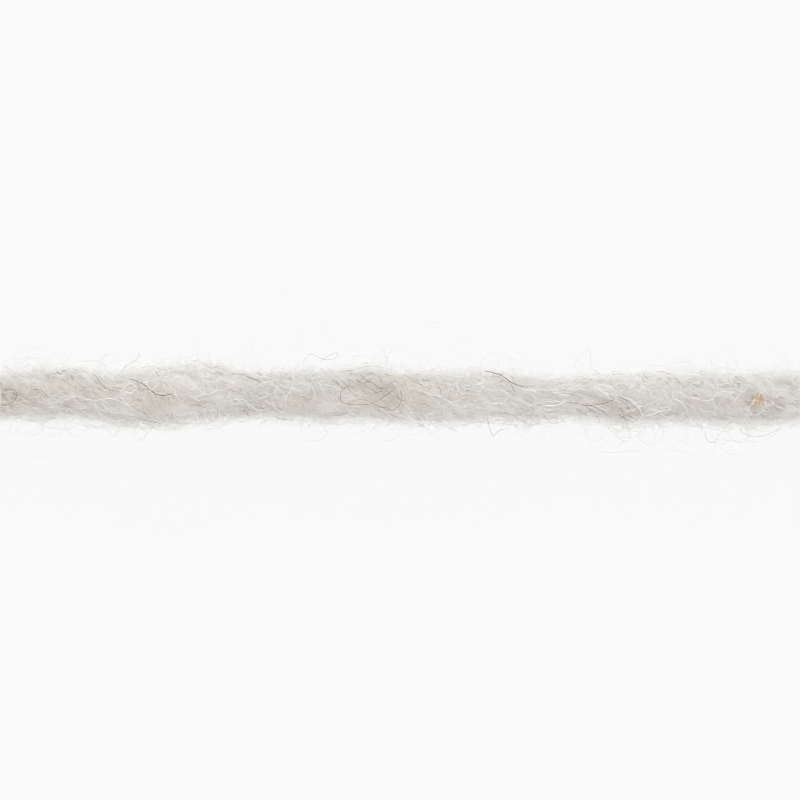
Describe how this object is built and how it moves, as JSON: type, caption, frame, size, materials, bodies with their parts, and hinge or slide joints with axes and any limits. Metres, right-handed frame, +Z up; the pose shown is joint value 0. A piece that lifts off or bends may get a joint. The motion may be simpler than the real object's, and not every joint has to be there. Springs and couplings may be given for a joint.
{
  "type": "knitting yarn strand",
  "caption": "Cut length of soft undyed two-ply knitting wool, laid out straight, with thick and thin places and a hairy surface.",
  "frame": {"origin": "on the resting plane, under the middle of the strand's box", "axes": "+X along the strand, +Z up from the resting plane"},
  "size_m": [0.052, 0.0036, 0.0033],
  "materials": {
    "wool": "matt undyed wool, loosely spun and hairy",
    "coarse_hair": "coarse brown hairs that were spun in with the wool",
    "straw": "one dry bit of straw that was spun in with the wool"
  },
  "bodies": {
    "root": {"ply_first": "wool", "ply_second": "wool"}
  },
  "joints": []
}
